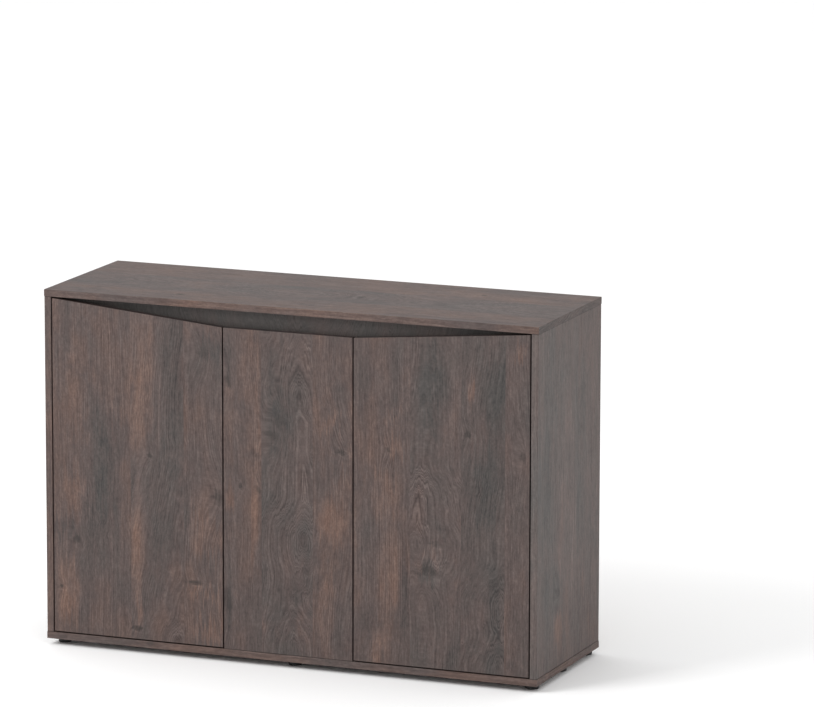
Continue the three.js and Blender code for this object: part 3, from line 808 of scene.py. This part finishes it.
RIGHT_SIDE_PANEL = dict(
    # Painted sheen: the tone is raised and the warmth and contrast lowered, so this side looks lighter,
    # greyer and flatter, as a grazing reflection makes it.
    axes=UPRIGHT_FACING_SIDE, seed=14.2, tone=0.135, warmth=-0.38, contrast=0.8, joint_shade=PAINTED_JOINT_SHADE,
    staves=[(0.0, STRAIGHT, 0.0, -0.3), (0.12, STRAIGHT, 0.015, 0.0), (0.27, STRAIGHT, -0.015, 0.1)],
    knots=[(0.15, 0.17, 0.012, 0.012, 0.4)],
    clouds=[
        (0.06, 0.45, 0.06, 0.35, 0.0, 0.4 * COOL),
        (0.155, 0.08, 0.03, 0.06, 0.4 * LIGHT, 1.2 * WARM),
        (0.14, 0.18, 0.04, 0.07, 0.6 * DARK, COOL),
        (0.19, 0.55, 0.04, 0.2, 0.3 * LIGHT, 0.2 * WARM),
        (0.29, 0.45, 0.04, 0.3, 0.2 * DARK, 0.7 * COOL),
        (0.075, 0.42, 0.022, 0.1, 0.8 * DARK, 0.5 * COOL),
        # Painted shade: darker towards the bottom rear of the panel.
        (0.3, 0.0, 0.3, 0.2, 0.9 * DARK, 0.6 * WARM),
    ],
)
LEFT_SIDE_PANEL = dict(
    axes=UPRIGHT_FACING_SIDE, seed=17.8, joint_shade=PAINTED_JOINT_SHADE,
    staves=[
        (0.0, STRAIGHT, 0.0, 0.2),
        (0.14, [(0.0, 0.2, 0.0), (0.3, 0.21, 0.06), (0.6, 0.2, 0.005), (1.0, 0.22, 0.1)], 0.0, -0.3),
        (0.28, STRAIGHT, 0.02, 0.1),
    ],
    knots=[(0.19, 0.33, 0.01, 0.007, 0.7), (0.31, 0.62, 0.006, 0.005, 0.7)],
)
TOP_PANEL = dict(
    axes=LYING, seed=25.7, warmth=0.1,
    staves=[
        (0.0, STRAIGHT, 0.0, 0.2),
        (
            0.13,
            [
                (0.0, 0.19, 0.0), (0.25, 0.2, 0.07), (0.45, 0.2, 0.01), (0.75, 0.19, 0.09),
                (1.0, 0.2, 0.02),
            ],
            0.0,
            -0.3,
        ),
        (0.27, STRAIGHT, 0.02, 0.2),
    ],
    knots=[(0.08, 0.31, 0.006, 0.009, 0.8), (0.2, 0.7, 0.012, 0.01, 0.6), (0.33, 0.95, 0.006, 0.007, 0.8)],
)
BOARDS = {
    "left_door": LEFT_DOOR,
    "centre_front_panel": CENTRE_FRONT_PANEL,
    "right_door": RIGHT_DOOR,
    "right_side_panel": RIGHT_SIDE_PANEL,
    "left_side_panel": LEFT_SIDE_PANEL,
    # The front rail's darker, cooler, flatter tone is painted shade of the recess behind the doors.
    "front_rail": dict(axes=UPRIGHT_FACING_FRONT, seed=21.5, tone=-0.07, warmth=-0.9, contrast=0.55),
    "top_panel": TOP_PANEL,
    "bottom_panel": dict(axes=LYING, seed=29.9, staves=[(0.0, STRAIGHT, 0.02, 0.2)]),
    "centre_partition": dict(axes=UPRIGHT_FACING_SIDE, seed=33.4),
    "left_shelf": dict(axes=LYING, seed=37.1, knots=[(0.2, 0.22, 0.008, 0.007, 0.7)]),
    "right_shelf": dict(axes=LYING, seed=41.6),
}
BACK_PANEL_SEEDS = {"left_back_panel": 45.2, "right_back_panel": 48.8}


def cut_faces(node):
    """Picks material 1 for the faces of bores, grooves and notches, which lie inside the board, or else 0."""
    low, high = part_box(node)

    def pick(face):
        centre = face.calc_center_median()
        inside = all(low[i] + INSIDE < centre[i] < high[i] - INSIDE for i in range(3))
        return int(inside and face.calc_area() < LARGEST_CUT_FACE)

    return pick


def behind(y):
    """Picks material 1 for the faces behind y, or else 0."""
    return lambda face: int(face.calc_center_median().y > y)


def add_boards(chipboard, fibreboard):
    for node, look in BOARDS.items():
        skins = [oak_material(node, **look), chipboard]
        replace_softened(node, "melamine_board", skins, EDGE_ROUNDING, SHORTEST_BOARD_EDGE, cut_faces(node))
    for node, seed in BACK_PANEL_SEEDS.items():
        skins = [oak_material(node, UPRIGHT_FACING_FRONT, seed), fibreboard]
        pick = behind(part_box(node)[0].y + INSIDE / 2)
        replace_softened(node, "back_sheet", skins, THIN_EDGE_ROUNDING, SHORTEST_BOARD_EDGE, pick)


# -------- shapes of fittings

Z_UP = (0, 0, 1)
DOWNWARD = (0, 0, -1)
REARWARD = (0, 1, 0)

HEAD_SIDES = 32
HEAD_PROFILE = [(1.0, 0.0), (1.0, 0.35), (0.94, 0.68), (0.82, 0.9), (0.68, 1.0)]  # in radii and heights
RAISED_HEAD = 0.42  # height in radii
FLAT_HEAD = 0.06  # that of a head whose cone lies in its plate
CROSS_ARM = 0.52  # from the middle, in radii
CROSS_HALF_WIDTH = 0.11
CROSS_DEPTH = 0.3
DEEPEST_CROSS = 0.9  # in heights of the head
CROSS_TAPER = 0.6  # the size of its floor, in sizes of its rim


def face_x(low, high, direction):
    """The x of a box's face on the side that direction, 1 or -1, points to."""
    return high.x if direction > 0 else low.x


def ring_of(bm, radius, height, sides):
    """A ring of vertices round Z, or one vertex where the radius is 0."""
    if radius == 0:
        return [bm.verts.new((0, 0, height))]
    angles = [2 * math.pi * i / sides for i in range(sides)]
    return [bm.verts.new((radius * math.cos(a), radius * math.sin(a), height)) for a in angles]


def join_rings(bm, rings, sides):
    for lower, upper in zip(rings, rings[1:]):
        for i in range(sides):
            j = (i + 1) % sides
            corners = [lower[k % len(lower)] for k in (i, j)] + [upper[k % len(upper)] for k in (j, i)]
            bm.faces.new(list(dict.fromkeys(corners)))


def aim(bm, place, axis):
    """Turns a closed shape's faces outwards and its Z axis to axis, and moves its origin to place."""
    bmesh.ops.recalc_face_normals(bm, faces=bm.faces)
    turn = Vector(Z_UP).rotation_difference(Vector(axis)).to_matrix().to_4x4()
    bmesh.ops.transform(bm, matrix=Matrix.Translation(place) @ turn, verts=bm.verts)


def turned(name, profile, sides, place, axis, slot, material):
    """A turned piece of the carcass: profile is (radius, height) pairs in millimetres, from axis to axis."""
    bm = bmesh.new()
    join_rings(bm, [ring_of(bm, radius * MM, height * MM, sides) for radius, height in profile], sides)
    aim(bm, place, axis)
    return new_piece(name, bm, "carcass", slot, [material])


def cross_outline(arm, half_width):
    """The corners of a cross round the origin: three to a quarter, turned four times."""
    corners = [(arm, -half_width), (arm, half_width), (half_width, half_width)]
    outline = []
    for quarter in range(4):
        c, s = math.cos(quarter * math.pi / 2), math.sin(quarter * math.pi / 2)
        outline += [(c * x - s * y, s * x + c * y) for x, y in corners]
    return outline


def screw(name, place, axis, radius, body, material, rise=RAISED_HEAD):
    """A screw's head with a cross recess. place is the middle of its seat, and axis points out of it."""
    height = rise * radius
    depth = min(CROSS_DEPTH * radius, DEEPEST_CROSS * height)
    outline = cross_outline(CROSS_ARM * radius, CROSS_HALF_WIDTH * radius)
    bm = bmesh.new()
    rings = [ring_of(bm, share * radius, level * height, HEAD_SIDES) for share, level in HEAD_PROFILE]
    bm.faces.new(rings[0])
    join_rings(bm, rings, HEAD_SIDES)
    rim = [bm.verts.new((x, y, height)) for x, y in outline]
    floor = [bm.verts.new((CROSS_TAPER * x, CROSS_TAPER * y, height - depth)) for x, y in outline]
    rim_edges = [bm.edges.new((rim[i], rim[i - 1])) for i in range(len(rim))]
    top_edges = [bm.edges.get((rings[-1][i], rings[-1][i - 1])) for i in range(HEAD_SIDES)]
    bmesh.ops.triangle_fill(bm, edges=rim_edges + top_edges, use_beauty=True)
    over_recess = [face for face in bm.faces if all(vertex in rim for vertex in face.verts)]
    bmesh.ops.delete(bm, geom=over_recess, context="FACES_ONLY")
    for i in range(len(rim)):
        bm.faces.new((rim[i - 1], rim[i], floor[i], floor[i - 1]))
    bm.faces.new(floor)
    aim(bm, place, axis)
    return new_piece(name, bm, body, "nickelled_steel", [material])


def slab(name, low, high, rounding, slot, material):
    """A rounded block of the carcass between its low and high corners."""
    bm = bmesh.new()
    bmesh.ops.create_cube(bm, size=1.0)
    size = Vector(high) - Vector(low)
    middle = (Vector(high) + Vector(low)) / 2
    scale = Matrix.Diagonal((*size, 1.0))
    bmesh.ops.transform(bm, matrix=Matrix.Translation(middle) @ scale, verts=bm.verts)
    edges = bm.edges[:]
    bmesh.ops.bevel(bm, geom=edges, offset=rounding, segments=ROUNDING_STEPS, profile=0.5, affect="EDGES")
    return new_piece(name, bm, "carcass", slot, [material])


# -------- feet and shelf pins

FOOT_SIDES = 64
FOOT_PROFILE = [
    (0.0, 0.0), (13.2, 0.0), (13.6, 0.3), (13.8, 0.9), (14.7, 1.3), (15.0, 2.0), (15.0, 7.2),
    (14.7, 8.2), (14.0, 8.9), (13.3, 9.3), (13.0, 10.0), (13.0, 15.0), (0.0, 15.0),
]
SHELF_PIN_SIDES = 32
SHELF_PIN_PROFILE = [
    (0.0, 0.0), (2.5, 0.0), (2.5, 7.75), (3.7, 7.75), (4.0, 7.95), (4.0, 8.55), (3.7, 8.75),
    (2.7, 8.8), (2.5, 9.1), (2.5, 15.7), (2.2, 16.2), (1.6, 16.5), (0.0, 16.5),
]


def add_feet(plastic):
    for column in ("left", "centre", "right"):
        for row in ("front", "middle", "rear"):
            node = f"{column}_{row}_foot"
            low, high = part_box(node)
            middle = (low + high) / 2
            base = (middle.x, middle.y, low.z)
            piece = turned(node + "_glide", FOOT_PROFILE, FOOT_SIDES, base, Z_UP, "black_plastic", plastic)
            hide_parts(node)


def add_shelf_pins(nickel):
    """Each pin points into its bay: away from the side panel, or away from the partition."""
    for side in SIDES:
        for place, direction in (("outer", INWARD[side]), ("inner", -INWARD[side])):
            for end in ("front", "rear"):
                node = f"{side}_{place}_{end}_shelf_pin"
                low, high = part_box(node)
                middle = (low + high) / 2
                at = (face_x(low, high, -direction), middle.y, middle.z)
                axis = (direction, 0, 0)
                peg = node + "_peg"
                piece = turned(peg, SHELF_PIN_PROFILE, SHELF_PIN_SIDES, at, axis, "nickelled_steel", nickel)
                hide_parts(node)


# -------- hinges, catches, brackets, cam locks

PRESSED_ROUNDING = 0.22 * MM
PRESSED_SHORTEST_EDGE = 1.5 * MM
CUP_SCREW_RISE = 24 * MM
CUP_WING_MIDDLE = 5 * MM  # from the cup's middle, away from the side panel
PLATE_SCREW_RISE = 18 * MM
PLATE_THICKNESS = 2.5 * MM
ARM_SHEET = 1.2 * MM
ARM_SCREWS_FROM_REAR = {"rear": 9 * MM, "front": 25 * MM}
HINGE_SCREW_RADIUS = 3.4 * MM

CATCH_ROUNDING = 0.5 * MM
CATCH_SHORTEST_EDGE = 0.5 * MM
CATCH_EAR_MIDDLE = 21 * MM
CATCH_EAR_FROM_REAR = 6 * MM
CATCH_EAR_THICKNESS = 3 * MM
CATCH_SCREW_RADIUS = 2.7 * MM
POLE_HALF_WIDTH = 13 * MM
POLE_HALF_HEIGHT = 0.7 * MM
POLE_RISE = 3.6 * MM  # of the pole plates' middles, over and under that of the magnet
POLE_STANDS_OUT = 0.3 * MM
POLE_ROUNDING = 0.2 * MM
MAGNET_HALF_HEIGHT = POLE_RISE - POLE_HALF_HEIGHT
MAGNET_STANDS_OUT = 0.12 * MM
IN_THE_HOUSING = 1.5 * MM
STRIKE_ROUNDING = 0.25 * MM
STRIKE_SHORTEST_EDGE = 0.3 * MM
STRIKE_SCREW_RADIUS = 2.8 * MM

BRACKET_ROUNDING = 0.3 * MM
BRACKET_SHEET = 2 * MM
BRACKET_SCREW_RISE = 10 * MM
BRACKET_SCREW_RADIUS = 3 * MM

CAM_ROUNDING = 0.25 * MM
CAM_SHORTEST_EDGE = 1.2 * MM


def add_hinge_screws(name, side, nickel):
    """Two screws each in the wings of the cup, in the plate and in the arm."""
    inward = INWARD[side]
    out = (inward, 0, 0)
    cup_low, cup_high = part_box(name + "_cup")
    plate_low, plate_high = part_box(name + "_plate")
    arm_low, arm_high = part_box(name + "_arm")
    middle = (cup_low.z + cup_high.z) / 2
    wing_x = (cup_low.x + cup_high.x) / 2 + inward * CUP_WING_MIDDLE
    plate_x = face_x(plate_low, plate_high, -inward) + inward * PLATE_THICKNESS
    plate_y = (plate_low.y + plate_high.y) / 2
    arm_x = face_x(arm_low, arm_high, -inward) + inward * ARM_SHEET
    for end, direction in UP_AND_DOWN:
        at = (wing_x, cup_high.y, middle + direction * CUP_SCREW_RISE)
        screw(f"{name}_cup_{end}_screw", at, REARWARD, HINGE_SCREW_RADIUS, f"{side}_door", nickel)
        at = (plate_x, plate_y, middle + direction * PLATE_SCREW_RISE)
        screw(f"{name}_plate_{end}_screw", at, out, HINGE_SCREW_RADIUS, "carcass", nickel)
    for end, from_rear in ARM_SCREWS_FROM_REAR.items():
        at = (arm_x, arm_high.y - from_rear, middle)
        screw(f"{name}_arm_{end}_screw", at, out, HINGE_SCREW_RADIUS, "carcass", nickel)


def add_hinges(nickel):
    for side in SIDES:
        for level in LEVELS:
            name = f"{side}_{level}_hinge"
            for part in ("cup", "link", "arm", "plate"):
                node = f"{name}_{part}"
                replace_softened(node, "nickelled_steel", [nickel], PRESSED_ROUNDING, PRESSED_SHORTEST_EDGE)
            add_hinge_screws(name, side, nickel)


def add_catch_magnet(catch, nickel, ferrite):
    """The magnet in a catch's mouth, between its two pole plates."""
    low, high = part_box(catch)
    middle = (low + high) / 2
    left, right = middle.x - POLE_HALF_WIDTH, middle.x + POLE_HALF_WIDTH

    def layer(name, z, half_height, stands_out, slot, material):
        near = (left, low.y - stands_out, z - half_height)
        far = (right, low.y + IN_THE_HOUSING, z + half_height)
        slab(name, near, far, POLE_ROUNDING, slot, material)

    for end, direction in UP_AND_DOWN:
        z = middle.z + direction * POLE_RISE
        layer(f"{catch}_{end}_pole", z, POLE_HALF_HEIGHT, POLE_STANDS_OUT, "nickelled_steel", nickel)
    layer(f"{catch}_magnet", middle.z, MAGNET_HALF_HEIGHT, MAGNET_STANDS_OUT, "black_plastic", ferrite)


def add_catches(nickel, plastic, ferrite):
    """The magnetic catches and strike plates with their screws, pole plates and magnets."""
    for side in SIDES:
        catch, strike = f"{side}_door_catch", f"{side}_strike_plate"
        replace_softened(catch, "black_plastic", [plastic], CATCH_ROUNDING, CATCH_SHORTEST_EDGE)
        replace_softened(strike, "nickelled_steel", [nickel], STRIKE_ROUNDING, STRIKE_SHORTEST_EDGE)
        low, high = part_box(catch)
        ear_y = high.y - CATCH_EAR_FROM_REAR
        ear_z = high.z - CATCH_EAR_THICKNESS
        for end, direction in (("left", -1), ("right", 1)):
            at = ((low.x + high.x) / 2 + direction * CATCH_EAR_MIDDLE, ear_y, ear_z)
            screw(f"{catch}_{end}_screw", at, DOWNWARD, CATCH_SCREW_RADIUS, "carcass", nickel)
        add_catch_magnet(catch, nickel, ferrite)
        low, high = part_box(strike)
        at = ((low.x + high.x) / 2, high.y, (low.z + high.z) / 2)
        screw(f"{strike}_screw", at, REARWARD, STRIKE_SCREW_RADIUS, f"{side}_door", nickel, FLAT_HEAD)


def add_brackets(nickel):
    """The angles behind the centre front panel, with two screws in each leg."""
    for side in SIDES:
        inward = INWARD[side]
        node = f"{side}_panel_bracket"
        replace_softened(node, "nickelled_steel", [nickel], BRACKET_ROUNDING, PRESSED_SHORTEST_EDGE)
        low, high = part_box(node)
        corner_x = face_x(low, high, inward) - inward * BRACKET_SHEET
        middle_x = (corner_x + face_x(low, high, -inward)) / 2
        corner_y = low.y + BRACKET_SHEET
        middle_y = (corner_y + high.y) / 2
        for end, direction in UP_AND_DOWN:
            z = (low.z + high.z) / 2 + direction * BRACKET_SCREW_RISE
            for leg, at, axis in (
                ("rear", (corner_x, middle_y, z), (-inward, 0, 0)),
                ("front", (middle_x, corner_y, z), REARWARD),
            ):
                screw(f"{node}_{leg}_{end}_screw", at, axis, BRACKET_SCREW_RADIUS, "carcass", nickel)


def add_cam_locks(zinc):
    for side in SIDES:
        for level in LEVELS:
            for end in ("front", "rear"):
                node = f"{side}_{level}_{end}_cam_lock"
                replace_softened(node, "zinc_casting", [zinc], CAM_ROUNDING, CAM_SHORTEST_EDGE)


# -------- floor and light

FLOOR_HALF = 60.0
FLOOR_COLOURS = ((0.96, 0.96, 0.96, 1.0), (0.98, 0.98, 0.98, 1.0))
SKY_COLOUR = (1, 1, 1, 1)
SKY_STRENGTH = 1.03
SOFTBOX_PLACE = (-3.2, -4.2, 4.2)
SOFTBOX_TARGET = (0, 0, 0.4)
SOFTBOX_SIZE = 2.6
SOFTBOX_POWER = 195


def add_floor():
    mesh = bpy.data.meshes.new("floor")
    corners = [(x * FLOOR_HALF, y * FLOOR_HALF, 0) for x, y in ((-1, -1), (1, -1), (1, 1), (-1, 1))]
    mesh.from_pydata(corners, [], [(0, 1, 2, 3)])
    floor = bpy.data.objects.new("floor", mesh)
    bpy.context.scene.collection.objects.link(floor)
    graph = Surface("pale_floor", Roughness=0.9, Specular_IOR_Level=0.1)
    cloud = graph.noise(graph.place(), (0.6, 0.6, 0.6), 1.0)
    graph.feed(graph.shader.inputs["Base Color"], graph.mix(graph.spread(cloud, -1.0, 1.0), *FLOOR_COLOURS))
    mesh.materials.append(graph.material)


def add_softbox():
    data = bpy.data.lights.new("key", "AREA")
    data.shape = "RECTANGLE"
    data.size = SOFTBOX_SIZE
    data.size_y = SOFTBOX_SIZE
    data.energy = SOFTBOX_POWER
    lamp = bpy.data.objects.new("key", data)
    lamp.location = SOFTBOX_PLACE
    aimed = Vector(SOFTBOX_TARGET) - Vector(SOFTBOX_PLACE)
    lamp.rotation_euler = aimed.to_track_quat("-Z", "Y").to_euler()
    bpy.context.scene.collection.objects.link(lamp)


def add_sky():
    world = bpy.data.worlds.new("studio")
    bpy.context.scene.world = world
    world.use_nodes = True
    background = world.node_tree.nodes["Background"]
    background.inputs["Color"].default_value = SKY_COLOUR
    background.inputs["Strength"].default_value = SKY_STRENGTH
    bpy.context.scene.view_settings.view_transform = "Standard"


# -------- the whole

NICKEL_COLOURS = (rgb(168, 167, 164), rgb(202, 200, 196))
ZINC_COLOURS = (rgb(120, 121, 121), rgb(165, 165, 163))

add_camera()
add_floor()
add_sky()
add_softbox()

nickel = metal_material("nickel_plate", NICKEL_COLOURS, roughness=0.3, grain=700, brushing=(2600, 2600, 60))
zinc = metal_material("cast_zinc", ZINC_COLOURS, roughness=0.45, grain=900, brushing=(900, 900, 900))
plastic = plastic_material()
ferrite = ferrite_material()
chipboard = chipboard_material()
fibreboard = fibreboard_material()

add_boards(chipboard, fibreboard)
add_feet(plastic)
add_shelf_pins(nickel)
add_hinges(nickel)
add_catches(nickel, plastic, ferrite)
add_brackets(nickel)
add_cam_locks(zinc)
